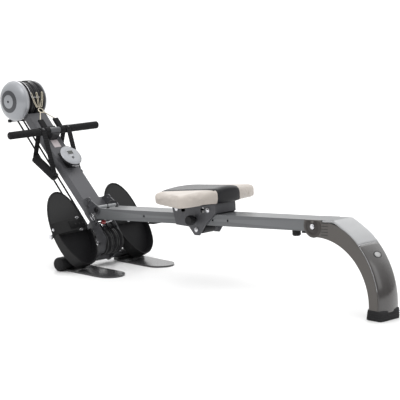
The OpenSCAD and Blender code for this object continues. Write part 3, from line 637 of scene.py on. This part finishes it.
def leg_sweep(bm, stations, section, dark_from):
    """Sweeps a closed section of (y, depth) along the leg's outline, and lets the rear face belly out."""
    rows = []
    for n, (station, sink) in enumerate(stations):
        belly = 7.0 * max(0.0, min(1.0, (n - dark_from + 2) / 14))
        rows.append([bm.verts.new(leg_pt(station, y, d + sink - belly * max(0.0, 1 - (y / 50) ** 2)))
                     for y, d in section])
    for i, (a, b) in enumerate(zip(rows, rows[1:])):
        for j in range(len(section)):
            k = (j + 1) % len(section)
            face = bm.faces.new((a[j], a[k], b[k], b[j]))
            face.material_index = 1 if i >= dark_from else 0
            face.smooth = True
    bm.faces.new(rows[0])
    end = bm.faces.new(rows[-1])
    end.material_index = 1 if dark_from < len(rows) else 0


bend = [(leg_station(BEND_ARC, 79.6 - 24.1 * i / 10), -7.2 * max(0.0, 1 - i / 6) ** 1.2) for i in range(11)]
upper = [(leg_station(LEG_ARC, 55.5 - (55.5 - LEG_SPLIT) * i / 5), 0.0) for i in range(1, 6)]
dip = [(leg_station(LEG_ARC, LEG_SPLIT - step), 1.6) for step in (0.05, 0.35)]
lower = [(leg_station(LEG_ARC, LEG_SPLIT - 0.4 - (LEG_SPLIT + 2.8) * i / 30), 0.5) for i in range(31)]
top_side = []
for i in range(6):
    a = math.radians(90 * i / 5)
    top_side.append((-LEG_W + 5.2 * (1 - math.sin(math.pi / 2 - a)),
                     5.2 * (1 - math.sin(a)) - 0.4 * math.sin(a)))
bulge = [(y, -0.4 - 1.3 * (1 - (y / 47) ** 2)) for y in (-40, -28, -14, 0, 14, 28, 40)]
section = [(-LEG_W, 6.4)] + top_side + bulge + [(-y, d) for y, d in reversed(top_side)] + [(LEG_W, 6.4)]
bm = bmesh.new()
leg_sweep(bm, bend + upper + dip + lower, section, len(bend + upper))
# two strips carry the cover's edges forward beside the rail, all in the light look
strip = [(leg_station(BEND_ARC, 93 - 13.6 * i / 8), -6.9 * (i / 8) ** 1.3) for i in range(9)]
ALL_LIGHT = 99
for side, _ in SIDES:
    cheek = [(side * LEG_W, 6.4)] + [(side * -y, d) for y, d in top_side[:4]]
    leg_sweep(bm, strip, cheek + [(side * 47.9, 1.0), (side * 47.9, 6.4)], ALL_LIGHT)
me = finished(bm, "leg_cover_skin")
cover = new_object("leg_cover_skin", me, "cover_light", "rail", smooth=False)
me.materials.append(M["cover_dark"])
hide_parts("leg_cover")
# a bright line along the seam where the covers meet: a painted highlight
seam = [leg_pt(leg_station(LEG_ARC, LEG_SPLIT - 0.2), y, d + 0.5) for y, d in section[1:-1]]
tube("leg_cover_seam_highlight", seam, 0.8, "bright", "rail", smooth=False)


# ---------------------------------------------------------------- seat cushion
PAD_LOW = 41.3
PAD_TOP = PAD_LOW + 48
PAD_HALF_W = 200
# how far outside the seat's plan the cushion starts, since the cloth draws in as it swells
START_OUT = 1.0
# how far the cloth may swell at any point, in metres, its pressure, and the size of the remeshed faces
SWELL_CAP = 0.0045
SWELL_PRESSURE = 1.8
SWELL_FRAMES = 20
SWELL_VOXEL = 0.0055


def seat_plan(out):
    """The seat's outline in rail coordinates, grown by out."""
    half = [(-31 - out, 126 + out), (60, 168 + out), (140, 192 + out), (154, PAD_HALF_W + out),
            (170, 192 + out), (186 + out, 150 + out), (194 + out, 118), (214 + out, 60), (216 + out, 0)]
    return half + [(x, -y) for x, y in reversed(half[:-1])]


def rounded(points, r, steps=4):
    """The closed outline with its corners rounded by r."""
    out = []
    n = len(points)
    for i in range(n):
        p, a, b = Vector(points[i]), Vector(points[i - 1]), Vector(points[(i + 1) % n])
        ua, ub = (a - p), (b - p)
        d = min(r, ua.length * 0.45, ub.length * 0.45)
        pa, pb = p + ua.normalized() * d, p + ub.normalized() * d
        for k in range(steps + 1):
            t = k / steps
            out.append((1 - t) ** 2 * pa + 2 * t * (1 - t) * p + t * t * pb)
    return out


def pad_mesh(outline, low, high, edge):
    """A closed slab with rounded upper and lower edges, in rail coordinates (mm)."""
    bm = bmesh.new()
    count = len(outline)
    middle = Vector((sum(p.x for p in outline) / count, sum(p.y for p in outline) / count))
    layers = []
    for k in range(0, 5):
        a = math.radians(90 * k / 4)
        layers.append((edge * 0.5 * (1 - math.sin(a)), low + edge * 0.5 * (1 - math.cos(a))))
    for k in range(0, 7):
        a = math.radians(90 * k / 6)
        layers.append((edge * (1 - math.cos(a)), high - edge * (1 - math.sin(a))))
    rings = []
    for inset, z in layers:
        ring = []
        for p in outline:
            q = p - (p - middle).normalized() * inset
            ring.append(bm.verts.new((q.x, q.y, z)))
        rings.append(ring)
    skin(bm, rings)
    return finished(bm, "pad")


def swell(me):
    """Remeshes and inflates a pad as cloth, and caps each point's movement (all in world metres)."""
    ob = bpy.data.objects.new("swelling", me)
    scene.collection.objects.link(ob)
    bpy.context.view_layer.objects.active = ob
    ob.select_set(True)
    rm = ob.modifiers.new("remesh", "REMESH")
    rm.mode = "VOXEL"
    rm.voxel_size = SWELL_VOXEL
    rm.use_smooth_shade = True
    dg = bpy.context.evaluated_depsgraph_get()
    solid = bpy.data.meshes.new_from_object(ob.evaluated_get(dg))
    ob.modifiers.clear()
    ob.data = solid
    rest = [v.co.copy() for v in solid.vertices]
    cl = ob.modifiers.new("cloth", "CLOTH")
    cl.settings.use_pressure = True
    cl.settings.uniform_pressure_force = SWELL_PRESSURE
    cl.settings.effector_weights.gravity = 0.0
    cl.settings.quality = 5
    cl.settings.tension_stiffness = 20
    cl.settings.compression_stiffness = 20
    cl.settings.bending_stiffness = 4
    cl.collision_settings.use_collision = False
    cl.point_cache.frame_start = 1
    cl.point_cache.frame_end = SWELL_FRAMES
    for f in range(1, SWELL_FRAMES + 1):
        scene.frame_set(f)
    dg = bpy.context.evaluated_depsgraph_get()
    done = bpy.data.meshes.new_from_object(ob.evaluated_get(dg))
    ob.modifiers.clear()
    for v, r in zip(done.vertices, rest):
        d = v.co - r
        if d.length > SWELL_CAP:
            v.co = r + d.normalized() * SWELL_CAP
    ob.data = done
    scene.frame_set(1)
    result = ob.data
    bpy.data.objects.remove(ob, do_unlink=True)
    return result


def rail_coords(v):
    """Back from world metres to rail coordinates in mm."""
    x, z = v.x / MM, v.z / MM - RAIL_Z
    return (x * math.cos(RISE) + z * math.sin(RISE), v.y / MM, -x * math.sin(RISE) + z * math.cos(RISE))


def band_edge(r):
    """Half-width of the black centre band at the distance r along the rail."""
    pts = ((-40, 104), (0, 98), (90, 82), (150, 72), (200, 62), (240, 54))
    for (r0, y0), (r1, y1) in zip(pts, pts[1:]):
        if r <= r1:
            t = max(0.0, (r - r0) / (r1 - r0))
            return y0 + (y1 - y0) * t
    return pts[-1][1]


pad = pad_mesh(rounded(seat_plan(START_OUT), 22), PAD_LOW - 2.0, PAD_TOP - 9, 11)
for v in pad.vertices:
    v.co = rail_pt(*v.co)
pad = swell(pad)
# centre seams sink in, the top is crowned, rises towards the back and falls off over the wings, the rear
# edge bows out in the middle, and the underside lies on the board inside a low rim
for v in pad.vertices:
    r, y, h = rail_coords(v.co)
    edge = band_edge(r)
    d = abs(abs(y) - edge)
    top = (h - PAD_LOW) / (PAD_TOP - PAD_LOW)
    groove = math.exp(-(d / 5.0) ** 2) * 4.5
    crown = 7.0 * max(0.0, 1 - (y / edge) ** 2)
    upper = max(0.0, min(1.0, (top - 0.35) / 0.3))
    wing = max(0.0, (abs(y) - edge) / (PAD_HALF_W - edge))
    h += (8.0 * max(0.0, (r + 25) / 240) + crown - groove - 10.0 * wing) * upper
    on_board = -12 < r < 198 and abs(y) < 108
    h = max(h, PAD_LOW if on_board else PAD_LOW - 4.0)
    rear = max(0.0, min(1.0, (r - 110) / 90))
    v.co = rail_pt(r + 9.0 * rear * (1 - (y / PAD_HALF_W) ** 2), y, h)
pad.update()
cushion = new_object("seat_cushion", pad, "beige", "seat")
pad.materials.append(M["dark_vinyl"])
for p in pad.polygons:
    r, y, h = rail_coords(p.center)
    p.material_index = int(abs(y) < band_edge(r))
sub = cushion.modifiers.new("smooth", "SUBSURF")
sub.levels = 1
sub.render_levels = 1
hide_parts("seat_pad")


# ---------------------------------------------------------------- small parts
# chrome hitch clip on the near side plate
clip = frame_at(Vector((-437, -FRAME_Y - 4.3, 184)) * MM, (math.cos(LEAN), 0, -math.sin(LEAN)), (0, -1, 0))
bolt("clip_boss", clip, 5, 5, "bright", "frame", False)
pts = [clip @ (Vector((x, y, 3.5)) * MM) for x, y in
       ((-13, 5), (-6, 7.5), (4, 7), (12, 4), (14, 0), (12, -4), (4, -7), (-6, -7.5), (-13, -5))]
tube("clip_wire", pts, 1.4, "bright", "frame")
# wire loop on the rail's top, and its feet
arch = [rail_pt(-379, y, h) for y, h in
        ((-23, 0.5), (-23, 12), (-19, 20), (-9, 23.5), (9, 23.5), (19, 20), (23, 12), (23, 0.5))]
tube("rail_wire_loop", arch, 1.8, "black", "rail")
for i, y in enumerate((-23, 23)):
    place = frame_at(rail_pt(-379, y, 0.1), (1, 0, 0.082), (-0.082, 0, 0.9966))
    bolt(f"rail_loop_foot_{i}", place, 5, 3.2, "black", "rail", False)

# stabilizer bolts
for side, nm in SIDES:
    for k, y in enumerate((22, 96)):
        at = Vector((STABILIZER[0] + 9.9, side * y, STABILIZER[1] + 9.9)) * MM
        place = frame_at(at, (0, 1, 0), (0.707, 0, 0.707))
        bolt(f"stabilizer_bolt_{nm}_{k}", place, 4.6, 4.6, "bright", "frame")

# a bright wire along the near plate's front edge that turns across at its lower end, a painted highlight on
# its rim, and a pale band over the guard, painted as the highlight along its top
FACE = math.pi / 2 - LEAN
arc = [head_pt(75.6, FACE + math.radians(78 - 108 * i / 25), -31.5) for i in range(26)]
arc += [arc[-1] + Vector((-0.6 * k, 9 * k, -0.6 * k)) * MM for k in range(1, 6)]
tube("head_rim_highlight", arc, 1.1, "bright", "frame", smooth=False)
me = bpy.data.meshes.new("head_guard_highlight_band")
bm = bmesh.new()
skin(bm, [[bm.verts.new(head_pt(75.1, FACE + math.radians(58 + 34 * i / 18), y)) for y in (-22, -20, 20, 22)]
          for i in range(19)], closed=False)
bm.to_mesh(me)
bm.free()
band = new_object("head_guard_highlight_band", me, "pale", "frame")
solid = band.modifiers.new("solid", "SOLIDIFY")
solid.thickness = 1.0 * MM
solid.offset = 0.0

# peg with a rubber tip behind the column, below the head
peg_at, peg_to = column_pt(772, -30, -32), Vector((-909, -45, 507)) * MM
place = frame_at(peg_at, (0, 1, 0.01), (peg_to - peg_at).normalized())
peg_len = (peg_to - peg_at).length / MM
lathe("head_peg", [(4, -2), (4, peg_len - 14), (6, peg_len - 13.5), (6.6, peg_len - 12), (6.6, peg_len - 1.5),
                   (5.4, peg_len), (0, peg_len)], place, "black", "frame", 32)

# crimped end fittings where each cord meets its snap hook
fitting = [(0, 0), (4.1, 0), (5.4, 1), (5.6, 3)]
for k in range(3):
    fitting += [(5.6, 4 + 4 * k), (4.9, 5 + 4 * k), (4.9, 6 + 4 * k), (5.6, 7 + 4 * k)]
fitting += [(5.4, 17), (3.8, 19), (0, 19)]
for i, y in enumerate((-28, 0, 28)):
    place = frame_at(column_pt(851, y, 53), (0, 1, 0), Vector((math.sin(LEAN), 0, -math.cos(LEAN))))
    lathe(f"cord_fitting_{i}", fitting, place, "black", "frame", 28)

# wraps of black tape on the bar, next to the grips
wrap = [(12.02, 0), (12.25, 0.3), (12.25, 27), (12.02, 27.3)]
for side, nm in SIDES:
    place = outward(BAR[0], side * 49.5, BAR[1], side)
    lathe(f"bar_wrap_{nm}", wrap, place, "webbing", "handlebar", 32)

# studs on the stirrups' webbing, and end discs of their foam grips
end_disc = [(4, -0.6), (5, 0.4), (14.6, 0.4), (15.4, -0.6), (15.4, -2.5)]
grip_mid = [(a + b) / 2 for a, b in zip(*STIRRUP_GRIP)]
for side, nm, body in ((-1, "left", "stirrup_left"), (1, "right", "stirrup_right")):
    y = side * STIRRUP_Y
    place = frame_at(Vector((BAR[0], y, BAR[1])) * MM + column_out * 15.2 * MM, (0, 1, 0), column_out)
    bolt(f"stirrup_stud_{nm}", place, 3.4, 2.0, "dark_metal", body, False)
    for k, (gx, gz) in enumerate(STIRRUP_GRIP):
        dx = Vector((gx - grip_mid[0], 0, gz - grip_mid[1])).normalized()
        place = frame_at(Vector((gx, y, gz)) * MM - dx * 1.6 * MM, (0, 1, 0), dx)
        lathe(f"stirrup_end_{nm}_{k}", end_disc, place, "black", body, 32)

# tube plugs in the ends of the handlebar's grips
plug = [(0, 1.2), (5, 1.0), (6.4, 0.2), (7, -0.6)]
for side, nm in SIDES:
    place = outward(BAR[0], side * 226.6, BAR[1], side)
    lathe(f"grip_end_{nm}", plug, place, "black", "handlebar", 28)

# the monitor's bright wire loop, and the black bead round its rim
loop = []
for i in range(13):
    a = math.radians(-115 + 150 * i / 12)
    across = Vector((0, math.cos(a), 0)) * 50.5 * MM
    loop.append(monitor_at + across + column_up * 50.5 * math.sin(a) * MM - column_out * 1.5 * MM)
tube("monitor_rim_wire", loop, 0.9, "bright", "monitor")
wire_ring("monitor_bead", monitor_at + column_out * 1.2 * MM, (0, 1, 0), column_out, 45.2, 45.2, 1.0,
          "black", "monitor", 40)

# red knob's grip ribs and the seat lock knob's ribs
down = Vector((math.sin(RISE), 0, -math.cos(RISE)))
place = frame_at(rail_pt(-406, -26, -54.8), (1, 0, 0), down)
for i in range(12):
    a = 2 * math.pi * i / 12
    rib = [place @ (Vector((9.9 * math.cos(a), 9.9 * math.sin(a), end)) * MM) for end in (-2.2, 2.2)]
    tube(f"red_knob_rib_{i}", rib, 0.5, "red", "fold_lock", smooth=False)
for i in range(14):
    a = 2 * math.pi * i / 14
    on_rim = rail_pt(98, 0, -20) + Vector((math.cos(a), 0, math.sin(a))) * 16.9 * MM
    rib = [on_rim + Vector((0, y * MM, 0)) for y in (-68.9, -84.9)]
    tube(f"seat_knob_rib_{i}", rib, 1.1, "black", "seat_lock", smooth=False)

# carriage bolts that hold the seat board, and caps on the roller axles
for i, (r, y) in enumerate(((30, 36), (30, -36), (160, 36), (160, -36))):
    place = frame_at(rail_pt(r, y, 33.0), (1, 0, 0), down)
    bolt(f"board_bolt_{i}", place, 4.2, 4.0, "bright", "seat")
cap = [(0, 2.4), (3, 2.2), (5.6, 1.4), (7.2, 0), (7.2, -0.8)]
for side, nm in SIDES:
    for i, (r, h) in enumerate(((11, 16), (166, 16), (104, -57))):
        place = frame_at(rail_pt(r, side * 57.5, h), (1, 0, 0), (0, side, 0))
        lathe(f"axle_cap_{nm}_{i}", cap, place, "bright", "seat", 32)

# leg: a disc, washer and bolt on each cheek, a bright wire along its edge as a painted highlight,
# and black lines as painted shade in the grooves near the rail's end
disc = [(0, 2.0), (22, 2.0), (23.5, 1.2), (25, 2.0), (34.5, 2.0), (36, 1.0), (36.2, -0.5)]
washer = [(0, 0.8), (10.5, 0.8), (11.5, 0.2), (11.6, -0.4)]
for side, nm in SIDES:
    px, pz = LEG_PIVOT
    plate = lathe(f"leg_boss_{nm}", disc, outward(px, side * LEG_W, pz, side), "leg", "rail")
    # the disc stays under the line of the rail's top
    for v in plate.data.vertices:
        v.co.z = min(v.co.z, (RAIL_Z - 2.5) * MM + v.co.x * math.tan(RISE))
    lathe(f"leg_washer_{nm}", washer, outward(px, side * (LEG_W + 2), pz, side), "black", "rail",
          40)
    place = outward(px, side * (LEG_W + 2.7), pz, side)
    bolt(f"leg_bolt_{nm}", place, 6.2, 4.2, "bright", "rail", False)
    # a bright wire along the cheek's edge: a painted highlight
    edge = [leg_pt(leg_station(LEG_ARC, LEG_SPLIT - 1.2 - 33 * i / 18), side * 51.8, 4.6) for i in range(19)]
    tube(f"leg_edge_highlight_{nm}", edge, 0.7, "bright", "rail", smooth=False)
    # black lines over the grooves: painted shade
    for i in range(5):
        z = 260 + 10 * i
        line = [Vector((x, side * 51.8, z + 0.082 * (x - 678))) * MM for x in (683, 697, 711)]
        tube(f"leg_groove_shade_{nm}_{i}", line, 1.0, "black", "rail", smooth=False)

# oval emblem on the leg's rear face
a = math.radians(36.5)
out = Vector((math.cos(a), 0, math.sin(a)))
arc_middle = Vector((LEG_ARC[0][0], 0, LEG_ARC[0][1])) * MM
emblem = frame_at(arc_middle + out * 291.6 * MM, Vector((-math.sin(a), 0, math.cos(a))), out)
for part, look, slot, profile in (
        ("rim", "black", "black_plastic", [(14.5, 0.8), (16, 1.6), (18, 0.6), (18.4, -3.0)]),
        ("face", "pale", "silver_plastic", [(0, 1.5), (8, 1.3), (14.5, 0.6), (15, -1.0)])):
    me = turned_mesh(f"leg_emblem_{part}", [(profile, 40)])
    me.transform(Matrix.Diagonal((0.72, 1.05, 1.0, 1.0)))
    me.transform(emblem)
    new_object(f"leg_emblem_{part}", me, look, "rail")

# rubber foot with rounded rear corners, and its ribs
FOOT_X = (876, 942)
FOOT_MID = 908
FOOT_Y = 53.5
foot_plan = rounded([(x, y * FOOT_Y) for x, y in
                     ((FOOT_X[0], -1), (FOOT_X[1], -1), (FOOT_X[1], 1), (FOOT_X[0], 1))], 13, 6)


def foot_pt(p, z, inset=0.0):
    """A point of the foot's outline at the height z: its front face leans back as it rises."""
    x = p.x + inset + 0.1 * z if p.x < FOOT_MID else p.x - inset
    return Vector((x, p.y * (FOOT_Y - inset) / FOOT_Y, z)) * MM


bm = bmesh.new()
skin(bm, [[bm.verts.new(foot_pt(p, z, inset)) for p in foot_plan]
          for z, inset in ((0, 2.0), (0.7, 0.6), (2.2, 0), (33.6, 0.8), (35.2, 1.6), (36, 3.0))])
me = finished(bm, "rear_foot_rubber")
foot = new_object("rear_foot_rubber", me, "rubber", "rail", smooth=False)
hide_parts("rear_foot")
for i in range(3):
    line = [foot_pt(p, 9 + 8 * i) for p in foot_plan]
    tube(f"foot_rib_{i}", line, 0.8, "rubber", "rail", cyclic=True, smooth=False)

# pedals: the sole's rim, the strap's upper layer with its studs, buckles and pins, and the heel cup's lip
STRAP_X = -20
SOLE_R = 151


def strap_pt(side, a, half, high, x=STRAP_X):
    """A point over one foot, a radians towards the machine's middle from the strap's top."""
    return pedal_pt(x, side * PEDAL_Y + half * math.sin(a) * -side, SOLE_TOP + high * math.cos(a))


for side, nm, body in ((-1, "left", "pedal_l"), (1, "right", "pedal_r")):
    cy = side * PEDAL_Y
    rim = []
    for i in range(40):
        a = math.radians(100 + 160 * i / 39)
        rim.append(pedal_pt(SOLE_SHIFT + SOLE_R * math.cos(a), cy + 81.5 * math.sin(a), SOLE_TOP + 0.2))
    tube(f"sole_rim_{nm}", rim, 2.0, "pedal", body, smooth=False)
    along = pedal_pt(1, 0, 0) - pedal_pt(0, 0, 0)
    over = [strap_pt(side, math.radians(-16 + 62 * i / 12), 84.5, 37.6) for i in range(13)]
    ribbon(f"strap_over_{nm}", over, along, 30, 2.4, "strap", body)
    for i in range(3):
        a = math.radians(2 + 14 * i)
        up = pedal_pt(0, math.sin(a) * -side, math.cos(a)) - pedal_pt(0, 0, 0)
        place = frame_at(strap_pt(side, a, 85.5, 38.9), (0, 1, 0), up.normalized())
        lathe(f"strap_stud_{nm}_{i}", [(0, 1.6), (2.4, 1.4), (3.4, 0.4), (3.4, -0.6)], place, "rubber", body,
              20)
    up = pedal_pt(0, 0, 1) - pedal_pt(0, 0, 0)
    for k, x in enumerate((-44, 4)):
        at = strap_pt(side, math.radians(16), 84, 37.4, x)
        wire_ring(f"strap_buckle_{nm}_{k}", at, (0, 1, 0), up, 6.5, 3.2, 0.9, "bright", body, 20)
    for k, sy in enumerate((-1, 1)):
        place = frame_at(pedal_pt(STRAP_X, cy + sy * 82.5, 17), (0, 0, 1), (0, sy, 0))
        bolt(f"strap_pin_{nm}_{k}", place, 4.0, 3.0, "bright", body, False)
    # the lip rises towards the heel with the cup's edge
    lip = []
    for i in range(45):
        a = math.radians(-84 + 168 * i / 44)
        lx = SOLE_SHIFT + (SOLE_R + 2) * math.cos(a)
        lz = SOLE_TOP + min(42.0, 22 + (lx - 3) * 20 / 101.0)
        lip.append(pedal_pt(lx, cy + 83.0 * math.sin(a), lz - 0.6))
    tube(f"heel_lip_{nm}", lip, 2.1, "cup", body, smooth=False)

# cushion piping between the wings and the centre band, laid on the cushion from above
for side, nm in SIDES:
    hits = []
    for i in range(28):
        r = -18 + (205 + 18) * i / 27
        start = rail_pt(r, side * band_edge(r), 140)
        direction = (rail_pt(r, side * band_edge(r), 0) - start).normalized()
        ok, loc, _, _ = cushion.ray_cast(start, direction)
        if ok:
            hits.append(loc - direction * 0.4 * MM)
    tube(f"seat_piping_{nm}", hits, 1.3, "dark_vinyl", "seat")

# ---------------------------------------------------------------- floor and light
floor_me = bpy.data.meshes.new("floor")
bm = bmesh.new()
bmesh.ops.create_grid(bm, x_segments=4, y_segments=4, size=30)
bm.to_mesh(floor_me)
bm.free()
floor = bpy.data.objects.new("floor", floor_me)
scene.collection.objects.link(floor)
fmat, fnt, fb = material("studio_floor")
fvec = coords(fnt)
fnt.links.new(ramp(fnt, noise(fnt, fvec, 3.0), [(0.3, (0.86, 0.86, 0.86)), (0.7, (0.89, 0.89, 0.89))]),
              fb.inputs["Base Color"])
fb.inputs["Roughness"].default_value = 0.55
floor_me.materials.append(fmat)

# a white world, brighter overhead and on the side behind the machine's head
world = bpy.data.worlds.new("studio")
scene.world = world
world.use_nodes = True
wnt = world.node_tree
bg = wnt.nodes["Background"]
bg.inputs[0].default_value = (1.0, 1.0, 1.0, 1.0)
sky = wnt.nodes.new("ShaderNodeTexCoord").outputs["Generated"]
split = wnt.nodes.new("ShaderNodeSeparateXYZ")
wnt.links.new(sky, split.inputs[0])
overhead = remap(wnt, split.outputs[2], 0.12, 1.6, 0.0, 1.0)
lobe = wnt.nodes.new("ShaderNodeVectorMath")
lobe.operation = "DOT_PRODUCT"
lobe.inputs[1].default_value = (-0.68, 0.72, 0.12)
wnt.links.new(sky, lobe.inputs[0])
behind = remap(wnt, lobe.outputs["Value"], 0.0, 0.75, 0.15, 0.95)
both = wnt.nodes.new("ShaderNodeMath")
both.operation = "ADD"
wnt.links.new(overhead, both.inputs[0])
wnt.links.new(behind, both.inputs[1])
wnt.links.new(both.outputs[0], bg.inputs[1])


def area_light(name, at, aim, size, power, size_y=None):
    """A square or oblong light in metres and watts."""
    li = bpy.data.lights.new(name, "AREA")
    li.energy = power
    li.size = size
    if size_y:
        li.shape = "RECTANGLE"
        li.size_y = size_y
    ob = bpy.data.objects.new(name, li)
    ob.location = at
    ob.rotation_euler = (Vector(aim) - Vector(at)).to_track_quat("-Z", "Y").to_euler()
    scene.collection.objects.link(ob)


area_light("key", (0.6, -1.6, 4.2), (0, 0, 0.2), 2.6, 42)
area_light("side", (4.2, 0.8, 1.9), (0.3, 0, 0.2), 1.8, 14, 2.4)
area_light("rim", (-3.2, 2.6, 2.4), (-0.3, 0, 0.3), 1.6, 20)

scene.view_settings.view_transform = "Standard"
